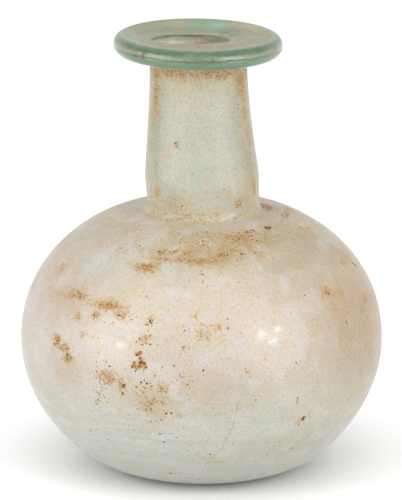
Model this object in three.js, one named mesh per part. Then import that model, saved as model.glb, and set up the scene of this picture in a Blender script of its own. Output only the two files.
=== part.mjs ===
// A free-blown glass perfume flask of the Roman period, as it left the ground: a squat round body on a
// slightly pushed-in base, a neck that narrows upwards, and a broad rim folded over into a thick roll.
// It is one piece of glass with a true wall, open at the mouth and empty inside.
// Millimetres, +Z up, origin at the middle of the underside that the flask stands on.
import * as THREE from "three";
import { mergeVertices } from "three/addons/utils/BufferGeometryUtils.js";

// Heights above the surface that the flask stands on
const overallHeight = 108.6;
const widestHeight = 31.9;
const neckRootHeight = 66.1;

// How far the neck's swelling sits above its root
const neckSwellRise = 7.3;

// Outside diameters
const bodyDiameter = 89.7;
const baseDiameter = 47.8;
const neckRootDiameter = 27.8;
const neckSwellDiameter = 28.2;
const neckTopDiameter = 24;
const rimDiameter = 41.5;

// How full the body is below and above its widest ring: 2 is an ellipse, more is squarer
const lowerFullness = 1.93;
const upperFullness = 2.14;

// Glass
const bodyWall = 1.6;
const baseWall = 2.6;
const neckWall = 1.9;

// The underside: the width of the flat ring that the flask stands on, and the push-up inside it
const standingRingWidth = 5.1;
const kickDepth = 2.2;

// The rim: a dished disc with a rolled edge, around a mouth a little narrower than the neck's bore
const rimThickness = 4.9;
const dishDepth = 1.1;
const mouthDiameter = 19;
const lipRadius = 0.9;
const lipDepth = 3.6;

// How far the soft corners reach, outside and inside: heel, neck and shoulder, neck and rim
const heelFillet = 6.8;
const cavityHeelFillet = 6.5;
const neckRootFillet = 1.6;
const fullNeckTopFillet = 1.6;
const shoulderMouthFillet = 2;

// How long the neck keeps its lower and its upper width, as shares of its height above the swelling
const lowerNeckHold = 0.05;
const upperNeckHold = 0.37;

// How flat the push-up is on top, and how hollow the dish, as shares of their width and depth
const kickFlatness = 0.6;
const dishHollow = 0.55;

// Where the blower's hand went off the axis: sideways shifts along X, and in degrees the rim's slope to
// the right and the mouth's lean to the back. The base's shift fades out upwards, the neck's over the
// shoulder, and the slope down the neck.
const baseShift = 0.55;
const baseFade = 17;
const neckRootShift = 0.45;
const shoulderFade = 3;
const neckBend = 1.6;
const rimShift = -0.85;
const mouthShift = -2.6;
const rimSlope = 0.8;
const rimSlopeFade = 3.3;
const mouthLean = 5;

// How finely the round is turned, and how many steps each stretch of its profile takes
const sides = 48;
const bodySteps = 10;
const cavitySteps = 9;
const neckSteps = 7;
const rollSteps = 9;
const shallowSteps = 4;
const cornerSteps = 3;

const glassColor = new THREE.Color(0.8, 0.8, 0.71);
const glassRoughness = 0.35;
const glassOpacity = 0.8;

const bodyRadius = bodyDiameter / 2;
const baseRadius = baseDiameter / 2;
const kickRadius = baseRadius - heelFillet - standingRingWidth;
const neckRootRadius = neckRootDiameter / 2;
const neckSwellRadius = neckSwellDiameter / 2;
const neckTopRadius = neckTopDiameter / 2;
const neckSwellHeight = neckRootHeight + neckSwellRise;
const rimRadius = rimDiameter / 2;
const rollRadius = rimThickness / 2;
const mouthRadius = mouthDiameter / 2;

const at = (radius, height) => new THREE.Vector2(radius, height);

// How high a superellipse still stands at a radius, as a share of its rise. It works the other way round
// too: the share of the widest radius that is left at a height.
const share = (radius, widest, fullness) => (1 - (radius / widest) ** fullness) ** (1 / fullness);

// A stretch of superellipse on one side of the widest ring, between two radii. rise is the signed height
// of its pole. Steps are even in angle, so that they are finer at the widest ring.
function bulge(widest, rise, fullness, fromRadius, toRadius, steps) {
  const angleOf = (radius) => Math.acos((radius / widest) ** (fullness / 2));
  const from = angleOf(fromRadius);
  const to = angleOf(toRadius);
  return Array.from({ length: steps + 1 }, (_, i) => {
    const angle = from + ((to - from) * i) / steps;
    return at(
      widest * Math.cos(angle) ** (2 / fullness),
      widestHeight + rise * Math.sin(angle) ** (2 / fullness),
    );
  });
}

// A corner rounded from one point to another, bending towards the corner itself
const soften = (from, corner, to) =>
  new THREE.QuadraticBezierCurve(from, corner, to).getPoints(cornerSteps);

// The neck from its swelling up to the rim, at an inset from its outside
function neckWaist(inset, topHeight) {
  const rise = topHeight - neckSwellHeight;
  return new THREE.CubicBezierCurve(
    at(neckSwellRadius - inset, neckSwellHeight),
    at(neckSwellRadius - inset, neckSwellHeight + rise * lowerNeckHold),
    at(neckTopRadius - inset, topHeight - rise * upperNeckHold),
    at(neckTopRadius - inset, topHeight),
  ).getPoints(neckSteps);
}

const neckTopFillet = Math.min(fullNeckTopFillet, (rimRadius - rollRadius - neckTopRadius) / 2);
const upperRise = (neckRootHeight - widestHeight) / share(neckRootRadius, bodyRadius, upperFullness);
const lowerRise = widestHeight / share(baseRadius, bodyRadius, lowerFullness);
const discUnderside = overallHeight - rimThickness;

// The push-up in the base, from the axis out to its foot at a height: the underside's or the floor's
function pushUp(height) {
  return new THREE.QuadraticBezierCurve(
    at(0, height + kickDepth),
    at(kickRadius * kickFlatness, height + kickDepth),
    at(kickRadius, height),
  ).getPoints(shallowSteps);
}

function outsideOfBody() {
  const shoulderEnd = neckRootRadius + neckRootFillet;
  const heelEnd = baseRadius + heelFillet;
  const lower = bulge(bodyRadius, -lowerRise, lowerFullness, heelEnd, bodyRadius, bodySteps);
  const heel = soften(at(baseRadius - heelFillet, 0), at(baseRadius, 0), lower[0]);
  return [
    ...heel,
    ...lower.slice(1),
    ...bulge(bodyRadius, upperRise, upperFullness, bodyRadius, shoulderEnd, bodySteps).slice(1),
  ];
}

function outsideOfNeck(shoulderEnd) {
  const root = soften(
    shoulderEnd,
    at(neckRootRadius, neckRootHeight),
    at(neckRootRadius, neckRootHeight + neckRootFillet),
  );
  const waist = neckWaist(0, discUnderside - neckTopFillet);
  const top = soften(
    waist[waist.length - 1],
    at(neckTopRadius, discUnderside),
    at(neckTopRadius + neckTopFillet, discUnderside),
  );
  return [...root.slice(1), ...waist, ...top.slice(1)];
}

// The rolled edge, from the foot of the disc's underside round to the highest ring of the flask
function rimRoll() {
  return new THREE.EllipseCurve(
    rimRadius - rollRadius,
    overallHeight - rollRadius,
    rollRadius,
    rollRadius,
    -Math.PI / 2,
    Math.PI / 2,
  ).getPoints(rollSteps);
}

// The dish slopes from the roll down to the mouth, and turns over a rounded lip into the neck
function dishAndLip() {
  const lipTop = at(mouthRadius + lipRadius, overallHeight - dishDepth);
  const dish = new THREE.QuadraticBezierCurve(
    at(rimRadius - rollRadius, overallHeight),
    at(rimRadius - rollRadius * 2, overallHeight - dishDepth * dishHollow),
    lipTop,
  ).getPoints(shallowSteps);
  const lip = new THREE.EllipseCurve(
    lipTop.x,
    lipTop.y - lipRadius,
    lipRadius,
    lipRadius,
    Math.PI / 2,
    Math.PI,
  ).getPoints(cornerSteps);
  return [...dish.slice(1), ...lip.slice(1)];
}

function bore(shoulderMouth) {
  const down = neckWaist(neckWall, overallHeight - dishDepth - lipDepth).reverse();
  const rootRadius = neckRootRadius - neckWall;
  const root = soften(
    at(rootRadius, shoulderMouth.corner.y + shoulderMouthFillet),
    shoulderMouth.corner,
    shoulderMouth.end,
  );
  return [...down, ...root];
}

// Where the bore opens into the body's cavity
function shoulderMouthOf(cavityRadius, cavityRise) {
  const radius = neckRootRadius - neckWall;
  const heightAt = (r) => widestHeight + cavityRise * share(r, cavityRadius, upperFullness);
  return {
    corner: at(radius, heightAt(radius)),
    end: at(radius + shoulderMouthFillet, heightAt(radius + shoulderMouthFillet)),
  };
}

// The cavity keeps the wall's thickness down to the heel, and its floor follows the push-up
function cavity(cavityRadius, cavityRise, fromRadius) {
  const floorRise = lowerRise - bodyWall;
  const floorEdge = cavityRadius * share(widestHeight - baseWall, floorRise, lowerFullness);
  const heelStart = floorEdge + cavityHeelFillet;
  const lower = bulge(cavityRadius, -floorRise, lowerFullness, cavityRadius, heelStart, cavitySteps);
  const heel = soften(
    lower[lower.length - 1],
    at(floorEdge, baseWall),
    at(floorEdge - cavityHeelFillet, baseWall),
  );
  return [
    ...bulge(cavityRadius, cavityRise, upperFullness, fromRadius, cavityRadius, cavitySteps).slice(1),
    ...lower.slice(1),
    ...heel.slice(1),
    ...pushUp(baseWall).reverse(),
  ];
}

function profile() {
  const cavityRadius = bodyRadius - bodyWall;
  const cavityRise = upperRise - bodyWall;
  const body = outsideOfBody();
  const shoulderMouth = shoulderMouthOf(cavityRadius, cavityRise);
  return [
    ...pushUp(0),
    ...body,
    ...outsideOfNeck(body[body.length - 1]),
    ...rimRoll(),
    ...dishAndLip(),
    ...bore(shoulderMouth),
    ...cavity(cavityRadius, cavityRise, shoulderMouth.end.x),
  ];
}

// Puts the turned shape a little off its axis, as the blown one is. The base is pushed sideways under the
// body, the neck bends over from its root, the rim slopes, and the mouth sits off its middle and leans.
function bendOffAxis(geometry) {
  const { smoothstep } = THREE.MathUtils;
  const shoulderStart = neckRootHeight - shoulderFade;
  const rimFoot = discUnderside - rimSlopeFade;
  const boreFoot = overallHeight - dishDepth - lipDepth;
  const slope = Math.tan(THREE.MathUtils.degToRad(rimSlope));
  const lean = Math.tan(THREE.MathUtils.degToRad(mouthLean));
  const positions = geometry.getAttribute("position");
  for (let i = 0; i < positions.count; i += 1) {
    const point = new THREE.Vector3().fromBufferAttribute(positions, i);
    const radius = Math.hypot(point.x, point.y);
    const nearBase = 1 - smoothstep(point.z, 0, baseFade);
    const along = THREE.MathUtils.clamp(
      (point.z - neckRootHeight) / (overallHeight - neckRootHeight),
      0,
      1,
    );
    const neck = neckRootShift + (rimShift - neckRootShift) * (1 - (1 - along) ** neckBend);
    const nearAxis = 1 - smoothstep(radius, mouthRadius + lipRadius, rimRadius - rollRadius);
    const mouth = smoothstep(point.z, boreFoot, overallHeight - dishDepth - lipRadius) * nearAxis;
    const onRim = smoothstep(point.z, rimFoot, discUnderside);
    const shift =
      baseShift * nearBase +
      neck * smoothstep(point.z, shoulderStart, neckRootHeight) +
      (mouthShift - rimShift) * mouth;
    const drop = point.x * slope * onRim + point.y * lean * mouth;
    positions.setXYZ(i, point.x + shift, point.y, point.z - drop);
  }
}

// Turns the profile round +Z into one closed surface whose seam and poles are single points
function turned(points) {
  const lathe = new THREE.LatheGeometry(points, sides);
  lathe.rotateX(Math.PI / 2);
  lathe.deleteAttribute("normal");
  lathe.deleteAttribute("uv");
  return mergeVertices(lathe, 1e-4);
}

function flask() {
  const geometry = turned(profile());
  bendOffAxis(geometry);
  geometry.computeVertexNormals();
  const weatheredGlass = new THREE.MeshStandardMaterial({
    color: glassColor,
    roughness: glassRoughness,
    metalness: 0,
    transparent: true,
    opacity: glassOpacity,
  });
  const mesh = new THREE.Mesh(geometry, weatheredGlass);
  mesh.name = "flask";
  return mesh;
}

const group = new THREE.Group();
group.add(flask());

export default group;
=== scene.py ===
import math
import random

import bpy
import numpy as np
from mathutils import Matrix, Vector, noise


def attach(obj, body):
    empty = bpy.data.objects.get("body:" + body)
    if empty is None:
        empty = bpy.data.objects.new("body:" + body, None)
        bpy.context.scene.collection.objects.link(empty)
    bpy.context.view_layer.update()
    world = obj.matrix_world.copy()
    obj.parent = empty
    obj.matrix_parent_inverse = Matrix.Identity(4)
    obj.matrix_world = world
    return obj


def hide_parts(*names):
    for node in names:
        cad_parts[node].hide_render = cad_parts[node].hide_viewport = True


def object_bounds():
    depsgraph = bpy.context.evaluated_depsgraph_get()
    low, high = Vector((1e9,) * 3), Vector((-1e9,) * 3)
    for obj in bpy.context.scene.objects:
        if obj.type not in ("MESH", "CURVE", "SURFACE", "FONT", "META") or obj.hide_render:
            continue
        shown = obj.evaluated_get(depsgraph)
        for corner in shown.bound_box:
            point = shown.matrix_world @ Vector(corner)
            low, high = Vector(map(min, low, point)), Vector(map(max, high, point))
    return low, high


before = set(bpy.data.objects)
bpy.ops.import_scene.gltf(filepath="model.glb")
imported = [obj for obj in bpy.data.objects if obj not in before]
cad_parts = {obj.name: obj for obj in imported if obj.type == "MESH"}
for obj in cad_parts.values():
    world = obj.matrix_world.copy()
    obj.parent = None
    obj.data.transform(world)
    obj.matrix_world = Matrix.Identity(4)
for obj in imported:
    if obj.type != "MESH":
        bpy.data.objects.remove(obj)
cad_low, cad_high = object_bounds()

MM = 0.001

# The flask's sizes, as its solid has them
BODY_RADIUS = cad_high.x / MM
OVERALL_HEIGHT = 108.6
WIDEST_HEIGHT = 31.9
NECK_ROOT_HEIGHT = 66.1
NECK_SWELL_HEIGHT = 73.4
BASE_RADIUS = 23.9
NECK_ROOT_RADIUS = 13.9
NECK_SWELL_RADIUS = 14.1
NECK_TOP_RADIUS = 12
RIM_RADIUS = 20.75
LOWER_FULLNESS = 1.93
UPPER_FULLNESS = 2.14
BODY_WALL = 1.6
BASE_WALL = 2.6
NECK_WALL = 1.9
STANDING_RING_WIDTH = 5.1
KICK_DEPTH = 2.2
RIM_THICKNESS = 4.9
DISH_DEPTH = 1.1
MOUTH_RADIUS = 9.5
LIP_RADIUS = 0.9
LIP_DEPTH = 3.6
HEEL_FILLET = 6.8
CAVITY_HEEL_FILLET = 6.5
NECK_ROOT_FILLET = 1.6
NECK_TOP_FILLET = 1.6
SHOULDER_MOUTH_FILLET = 2
LOWER_NECK_HOLD = 0.05
UPPER_NECK_HOLD = 0.37
KICK_FLATNESS = 0.6
DISH_HOLLOW = 0.55

# Where it went off its axis: sideways shifts along X, and the rim's slope and the mouth's lean in degrees
BASE_SHIFT = 0.55
BASE_FADE = 17
NECK_ROOT_SHIFT = 0.45
SHOULDER_FADE = 3
NECK_BEND = 1.6
RIM_SHIFT = -0.85
MOUTH_SHIFT = -2.6
RIM_SLOPE = 0.8
RIM_SLOPE_FADE = 3.3
MOUTH_LEAN = 5

# How deep the wall has sunk round the foot of the neck, and how far out from it. The solid hasn't
DIP_DEPTH = 1.1
DIP_REACH = 10

# The zones of the profile, and the soil on it, in the order of their materials
OUTSIDE, RIM, INSIDE, CRUMBS = range(4)

KICK_RADIUS = BASE_RADIUS - HEEL_FILLET - STANDING_RING_WIDTH
ROLL_RADIUS = RIM_THICKNESS / 2
DISC_UNDERSIDE = OVERALL_HEIGHT - RIM_THICKNESS
LIP_TOP = OVERALL_HEIGHT - DISH_DEPTH
BORE_TOP = LIP_TOP - LIP_DEPTH

SEGMENTS = 240
SEED = 11

# Where the camera stands: in front of the flask, a little above it. The distance is in metres
CAMERA_DISTANCE = 1.1
CAMERA_ELEVATION = 15
CAMERA_LENS = 320.5
CAMERA_AIM = Vector((-0.12, 0, 54.1)) * MM


# The profile, as points of radius and height in millimetres

def share(radius, widest, fullness):
    """How high a superellipse still stands at a radius, as a share of its rise."""
    return (1 - (radius / widest) ** fullness) ** (1 / fullness)


def bulge(widest, rise, fullness, start, end, steps):
    """A stretch of superellipse on one side of the widest ring, between two radii."""
    first, last = (math.acos((radius / widest) ** (fullness / 2)) for radius in (start, end))
    turn = np.linspace(first, last, steps + 1)
    radii = widest * np.cos(turn) ** (2 / fullness)
    return np.column_stack([radii, WIDEST_HEIGHT + rise * np.sin(turn) ** (2 / fullness)])


def bezier(*points, steps):
    """A Bezier curve of any degree."""
    t = np.linspace(0, 1, steps + 1)[:, None]
    degree = len(points) - 1
    return sum(
        math.comb(degree, k) * (1 - t) ** (degree - k) * t**k * np.array(point, float)
        for k, point in enumerate(points)
    )


def arc(centre, radius, start, end, steps):
    """A stretch of circle between two angles in degrees."""
    turn = np.radians(np.linspace(start, end, steps + 1))
    return np.array(centre) + radius * np.column_stack([np.cos(turn), np.sin(turn)])


def push_up(height, steps):
    """The push-up in the base, from the axis out to its foot."""
    top = height + KICK_DEPTH
    return bezier((0, top), (KICK_RADIUS * KICK_FLATNESS, top), (KICK_RADIUS, height), steps=steps)


def neck_waist(inset, top, steps):
    """The neck from its swelling up to the rim, at an inset from its outside."""
    rise = top - NECK_SWELL_HEIGHT
    low, high = NECK_SWELL_RADIUS - inset, NECK_TOP_RADIUS - inset
    return bezier(
        (low, NECK_SWELL_HEIGHT),
        (low, NECK_SWELL_HEIGHT + rise * LOWER_NECK_HOLD),
        (high, top - rise * UPPER_NECK_HOLD),
        (high, top),
        steps=steps,
    )


def outside(upper_rise, lower_rise):
    """The underside, the body and the neck, up to the rim's underside."""
    heel_end = BASE_RADIUS + HEEL_FILLET
    shoulder_end = NECK_ROOT_RADIUS + NECK_ROOT_FILLET
    lower = bulge(BODY_RADIUS, -lower_rise, LOWER_FULLNESS, heel_end, BODY_RADIUS, 54)
    upper = bulge(BODY_RADIUS, upper_rise, UPPER_FULLNESS, BODY_RADIUS, shoulder_end, 74)
    waist = neck_waist(0, DISC_UNDERSIDE - NECK_TOP_FILLET, 48)
    return [
        push_up(0, 12),
        bezier((KICK_RADIUS, 0), (BASE_RADIUS - HEEL_FILLET, 0), steps=5),
        bezier((BASE_RADIUS - HEEL_FILLET, 0), (BASE_RADIUS, 0), lower[0], steps=16),
        lower,
        upper,
        bezier(
            upper[-1],
            (NECK_ROOT_RADIUS, NECK_ROOT_HEIGHT),
            (NECK_ROOT_RADIUS, NECK_ROOT_HEIGHT + NECK_ROOT_FILLET),
            steps=6,
        ),
        bezier((NECK_ROOT_RADIUS, NECK_ROOT_HEIGHT + NECK_ROOT_FILLET), waist[0], steps=9),
        waist,
        bezier(
            waist[-1],
            (NECK_TOP_RADIUS, DISC_UNDERSIDE),
            (NECK_TOP_RADIUS + NECK_TOP_FILLET, DISC_UNDERSIDE),
            steps=6,
        ),
    ]


def rim():
    """The disc's underside, the rolled edge, the dish and the lip."""
    roll_middle = (RIM_RADIUS - ROLL_RADIUS, OVERALL_HEIGHT - ROLL_RADIUS)
    underside = bezier(
        (NECK_TOP_RADIUS + NECK_TOP_FILLET, DISC_UNDERSIDE), (roll_middle[0], DISC_UNDERSIDE), steps=7
    )
    dish = bezier(
        (roll_middle[0], OVERALL_HEIGHT),
        (RIM_RADIUS - ROLL_RADIUS * 2, OVERALL_HEIGHT - DISH_DEPTH * DISH_HOLLOW),
        (MOUTH_RADIUS + LIP_RADIUS, LIP_TOP),
        steps=14,
    )
    lip = arc((MOUTH_RADIUS + LIP_RADIUS, LIP_TOP - LIP_RADIUS), LIP_RADIUS, 90, 180, 7)
    return [underside, arc(roll_middle, ROLL_RADIUS, -90, 90, 30), dish, lip]


def inside(upper_rise, lower_rise):
    """The bore and the body's cavity, down to the floor."""
    widest = BODY_RADIUS - BODY_WALL
    rise, floor_rise = upper_rise - BODY_WALL, lower_rise - BODY_WALL
    bore_radius = NECK_ROOT_RADIUS - NECK_WALL
    mouth_end = bore_radius + SHOULDER_MOUTH_FILLET
    corner_height = WIDEST_HEIGHT + rise * share(bore_radius, widest, UPPER_FULLNESS)
    end_height = WIDEST_HEIGHT + rise * share(mouth_end, widest, UPPER_FULLNESS)
    bore = neck_waist(NECK_WALL, BORE_TOP, 8)[::-1]
    floor_edge = widest * share(WIDEST_HEIGHT - BASE_WALL, floor_rise, LOWER_FULLNESS)
    lower = bulge(widest, -floor_rise, LOWER_FULLNESS, widest, floor_edge + CAVITY_HEEL_FILLET, 10)
    return [
        bezier((MOUTH_RADIUS, LIP_TOP - LIP_RADIUS), bore[0], steps=2),
        bore,
        bezier(bore[-1], (bore_radius, corner_height + SHOULDER_MOUTH_FILLET), steps=4),
        bezier(
            (bore_radius, corner_height + SHOULDER_MOUTH_FILLET),
            (bore_radius, corner_height),
            (mouth_end, end_height),
            steps=4,
        ),
        bulge(widest, rise, UPPER_FULLNESS, mouth_end, widest, 12),
        lower,
        bezier(
            lower[-1], (floor_edge, BASE_WALL), (floor_edge - CAVITY_HEEL_FILLET, BASE_WALL), steps=3
        ),
        bezier((floor_edge - CAVITY_HEEL_FILLET, BASE_WALL), (KICK_RADIUS, BASE_WALL), steps=2),
        push_up(BASE_WALL, 4)[::-1],
    ]


def profile():
    """All points of the profile, and for each the zone that it belongs to."""
    upper_rise = (NECK_ROOT_HEIGHT - WIDEST_HEIGHT) / share(NECK_ROOT_RADIUS, BODY_RADIUS, UPPER_FULLNESS)
    lower_rise = WIDEST_HEIGHT / share(BASE_RADIUS, BODY_RADIUS, LOWER_FULLNESS)
    points, zones = [np.array([0, KICK_DEPTH], float)], [OUTSIDE]
    stretches = [
        (OUTSIDE, outside(upper_rise, lower_rise)),
        (RIM, rim()),
        (INSIDE, inside(upper_rise, lower_rise)),
    ]
    for zone, pieces in stretches:
        for piece in pieces:
            points.extend(piece[1:])
            zones.extend([zone] * (len(piece) - 1))
    return np.array(points), np.array(zones)


def smoothstep(value, low, high):
    """From 0 at low to 1 at high, level at both ends."""
    t = np.clip((np.asarray(value, float) - low) / (high - low), 0, 1)
    return t * t * (3 - 2 * t)


def root_dip(points):
    """How far the wall has sunk round the foot of the neck, for points of radius and height."""
    radius, height = points.T
    near = 1 - smoothstep(radius, NECK_ROOT_RADIUS, NECK_ROOT_RADIUS + DIP_REACH)
    on_shoulder = smoothstep(height, WIDEST_HEIGHT, NECK_ROOT_HEIGHT - DIP_REACH)
    below_swell = 1 - smoothstep(height, NECK_ROOT_HEIGHT, NECK_SWELL_HEIGHT)
    return DIP_DEPTH * near * on_shoulder * below_swell


def off_axis(points):
    """Bends turned points a little off their axis, as the blown flask is. Millimetres in and out."""
    x, y, z = points[..., 0], points[..., 1], points[..., 2]
    near_base = 1 - smoothstep(z, 0, BASE_FADE)
    along = np.clip((z - NECK_ROOT_HEIGHT) / (OVERALL_HEIGHT - NECK_ROOT_HEIGHT), 0, 1)
    neck = NECK_ROOT_SHIFT + (RIM_SHIFT - NECK_ROOT_SHIFT) * (1 - (1 - along) ** NECK_BEND)
    near_axis = 1 - smoothstep(np.hypot(x, y), MOUTH_RADIUS + LIP_RADIUS, RIM_RADIUS - ROLL_RADIUS)
    mouth = smoothstep(z, BORE_TOP, LIP_TOP - LIP_RADIUS) * near_axis
    on_rim = smoothstep(z, DISC_UNDERSIDE - RIM_SLOPE_FADE, DISC_UNDERSIDE)
    shift = (
        BASE_SHIFT * near_base
        + neck * smoothstep(z, NECK_ROOT_HEIGHT - SHOULDER_FADE, NECK_ROOT_HEIGHT)
        + (MOUTH_SHIFT - RIM_SHIFT) * mouth
    )
    slope, lean = math.tan(math.radians(RIM_SLOPE)), math.tan(math.radians(MOUTH_LEAN))
    return np.stack([x + shift, y, z - x * slope * on_rim - y * lean * mouth], axis=-1)


# Where the weathering sits, and where light and shade are painted into the colour. Each patch is (azimuth,
# level, reach along, reach up, strength), with the azimuth in degrees from the front towards +X and the rest
# in millimetres. The level is a height on the outside of the wall, taken before it sank round the neck, and
# a radius on the rim's dish.
ORANGE_PATCHES = [
    (-57, 48.9, 3.6, 1.2, 0.6),
    (-49, 49.8, 4.4, 1.5, 1),
    (-34, 49.3, 5, 1.7, 1.2),
    (-29, 48, 2.4, 1.8, 0.9),
    (-38, 46.8, 2.2, 1.4, 0.8),
    (-45, 45.4, 1.6, 1.2, 0.75),
    (-52, 38.9, 2, 1.5, 1.25),
    (-49, 37.5, 1.9, 1.5, 1.2),
    (-46.5, 35.4, 1.8, 1.7, 1.25),
    (-41, 41.8, 1.8, 1.2, 0.5),
    (-2, 48.8, 0.8, 2, 0.75),
    (-24, 54.2, 2.2, 2.2, 0.45),
    (-32, 58.2, 2.2, 1.4, 0.55),
    (-30, 32.9, 3.4, 2.2, 1.15),
    (-25.2, 30.9, 1.2, 2, 0.95),
    (-16, 27.5, 5.2, 3.4, 0.62),
    (-12, 31.6, 1.6, 1.6, 0.7),
    (-7, 24.5, 1.8, 1.2, 0.5),
    (-18.7, 42.8, 1.9, 1.6, 0.85),
    (-19, 36.9, 2.4, 1.8, 0.75),
    (-20, 39.6, 1.3, 1.1, 0.8),
    (-17, 47.3, 1.5, 2, 0.55),
    (-68, 53.5, 3.6, 2.6, 0.6),
    (-67, 48.9, 2, 1.6, 0.5),
    (-25, 57.8, 3.8, 2.1, 1.15),
    (-17, 59.5, 5.5, 0.9, 0.95),
    (-9, 59.6, 5.5, 1.1, 0.95),
    (-8, 61, 8, 1.4, 0.75),
    (-1, 62.3, 7, 1.3, 0.6),
    (-1, 59.4, 5.5, 1.6, 0.95),
    (9, 60.3, 4.5, 2, 0.85),
    (18, 61, 6, 1.6, 0.75),
    (3, 63.8, 3.2, 1.4, 0.6),
    (23, 63.2, 5.5, 1.7, 1.1),
    (0, 44.6, 2.6, 2.2, 0.65),
    (5, 46.2, 3.2, 1, 0.6),
    (-4, 33, 2, 2.2, 0.4),
    (7, 43, 2.2, 1.8, 0.4),
    (0, 28.9, 1.8, 1.4, 0.4),
    (3, 12.2, 2, 1.4, 0.4),
    (14, 35.5, 0.9, 1, 0.9),
    (34.5, 20.9, 1.6, 1.6, 0.85),
    (-14, 35, 0.8, 0.8, 0.5),
    (-5.6, 41.6, 0.9, 1, 0.6),
    (-1, 46.6, 5, 0.6, 0.55),
    (6, 11, 3, 1, 0.35),
    (33, 63.6, 2.2, 1, 0.8),
    (48, 63.7, 1.7, 0.9, 1),
    (97, 65.7, 4.5, 2.6, 1.3),
    (84, 64, 6, 1.8, 0.8),
    (100, 63.6, 4, 1.6, 0.7),
    (50.5, 50.1, 3, 2.2, 0.95),
    (57, 49.2, 2.8, 1.8, 0.75),
    (52, 47, 3, 2, 0.5),
    (72, 54, 4, 2.4, 0.5),
    (-68, 55.5, 4.5, 2.5, 0.45),
    (55, 44.3, 1.6, 3.4, 0.6),
    (59, 55.6, 1.8, 0.9, 0.7),
    (77, 53.5, 5, 1.8, 0.6),
    (72, 45.3, 2, 2.2, 0.8),
    (-57, 100.4, 3, 2.2, 1),
    (-60, 93.8, 2.6, 4.6, 0.9),
    (-36, 101, 2.2, 1.2, 1),
    (-73, 87, 1.6, 4, 0.4),
    (60, 98, 3.4, 4.5, 1),
    (62, 90.5, 2, 3.2, 0.8),
    (64, 84.5, 1.8, 2.8, 0.75),
    (30, 100.8, 4, 1.4, 0.9),
    (-27, 83.9, 1.3, 1.4, 0.75),
    (-42, 80.5, 1, 0.9, 0.5),
    (-52, 71, 2.2, 2.8, 0.7),
    (66, 71.8, 1.8, 3, 0.85),
    (40, 69.5, 1.4, 1.2, 0.9),
    (58, 75.6, 1.4, 2, 0.4),
    (150, 52, 9, 3, 0.6),
    (-140, 38, 7, 4, 0.6),
    (-165, 60, 6, 2, 0.7),
    (170, 90, 3, 4, 0.5),
]
ROOT_SOIL_PATCHES = [
    (64, 62, 10, 4, 0.6),
    (-6, 66.5, 10, 1.6, 0.7),
    (20, 62.5, 17, 5.5, 1),
    (-16, 60.5, 8, 2.2, 0.8),
    (170, 63, 12, 5, 0.8),
]
BLUISH_PATCHES = [
    (-48, 57, 8, 4, 0.9),
    (-23, 17, 11, 5, 0.8),
    (17, 20, 7, 3.5, 0.8),
    (3, 8, 12, 3, 0.8),
    (12, 31.5, 4.5, 3, 0.7),
    (-45, 82, 2.5, 8, 0.6),
    (-150, 20, 14, 6, 0.8),
]
CREAM_PATCHES = [
    (-31, 42, 10, 7, 0.9),
    (-6, 50, 13, 7, 0.6),
    (22, 44, 15, 9, 0.7),
    (160, 40, 22, 11, 0.6),
]
BEIGE_PATCHES = [
    (-15, 28, 8, 5, 0.45),
    (-54, 49, 8, 4.5, 0.45),
    (4, 30, 15, 7, 0.45),
    (62, 48, 9, 4, 0.3),
    (-48, 32, 7, 5.5, 0.4),
    (-62, 25, 7, 6, 0.35),
    (60, 60, 11, 6, 0.55),
    (-3, 8, 12, 2, 0.2),
    (70, 38, 24, 19, 1),
    (74, 55, 12, 5, 0.75),
    (52, 49, 6, 4, 0.4),
    (0, 59.5, 15, 2.4, 0.4),
    (50, 57, 14, 5, 0.5),
]
# Painted shade: a lilac tint at the left edge, where the wall is seen edgeways
LILAC_EDGE_SHADE_PATCHES = [(-84, 40, 13, 26, 1)]
# Painted glints: pale spots where highlights fall on the film
PAINTED_GLINT_PATCHES = [
    (19.8, 43.9, 0.8, 1.2, 0.9),
    (25.5, 44.7, 0.9, 0.7, 1),
    (23.3, 42.3, 0.9, 0.8, 1),
    (-26.3, 41, 0.9, 0.7, 0.9),
    (160, 46, 1, 1, 0.8),
]
GLOSS_PATCHES = [(22, 66.6, 9, 1.6, 1), (-20, 66.8, 5, 1.2, 0.5)]
# Olive stains; the two tall patches at either side of the neck are painted shade where it is seen edgeways
OLIVE_STAIN_AND_EDGE_SHADE_PATCHES = [
    (36, 13, 14, 6, 0.45),
    (-34, 70, 4, 3, 0.6),
    (50, 69, 5, 3.5, 0.7),
    (-64, 86, 5, 17, 1),
    (64, 84, 5, 19, 1),
    (14, 61.5, 14, 4, 0.8),
    (180, 84, 6, 14, 0.6),
]
TURQUOISE_PATCHES = [(160, 15.4, 2.2, 1.4, 1), (-172, 15, 3, 1.4, 0.35)]
DEEP_GREEN_PATCHES = [(140, 12.6, 1.8, 1.6, 1), (122, 11.6, 2.4, 1.3, 1)]
PINK_PATCHES = [(132, 17.2, 5.5, 1.3, 1), (-160, 16.8, 4, 1, 0.5)]
DISH_FILM_PATCHES = [
    (0, 13.8, 26, 5, 1),
    (-80, 14.5, 9, 4, 0.55),
    (80, 15, 16, 6, 1),
    (-110, 13.5, 9, 4, 0.6),
    (-150, 15.5, 8, 3, 0.5),
]
# A painted pale sheen on the roll, at its left and right ends and at the back
PAINTED_ROLL_SHEEN_PATCHES = [
    (-86, 106.6, 9.5, 3.2, 0.9),
    (86, 106.6, 10.5, 3.2, 0.9),
    (180, 106.4, 14, 2.5, 0.5),
]
# Painted shade that dims the roll's painted highlight band at the front and at either side
PAINTED_ROLL_SHADE_PATCHES = [(0, 106.4, 3.4, 1, 0.6), (-70, 106, 3, 1, 0.4), (66, 106, 2.6, 1, 0.4)]
# Soil along the far edge of the lip, which is also a painted shadow of the lip
LIP_SOIL_AND_SHADOW_PATCHES = [(180, 9.65, 13, 0.26, 1)]
LIP_RUST_PATCHES = [(-164, 12.4, 1.5, 1, 1), (-146, 10.4, 2.6, 0.6, 1)]

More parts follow.
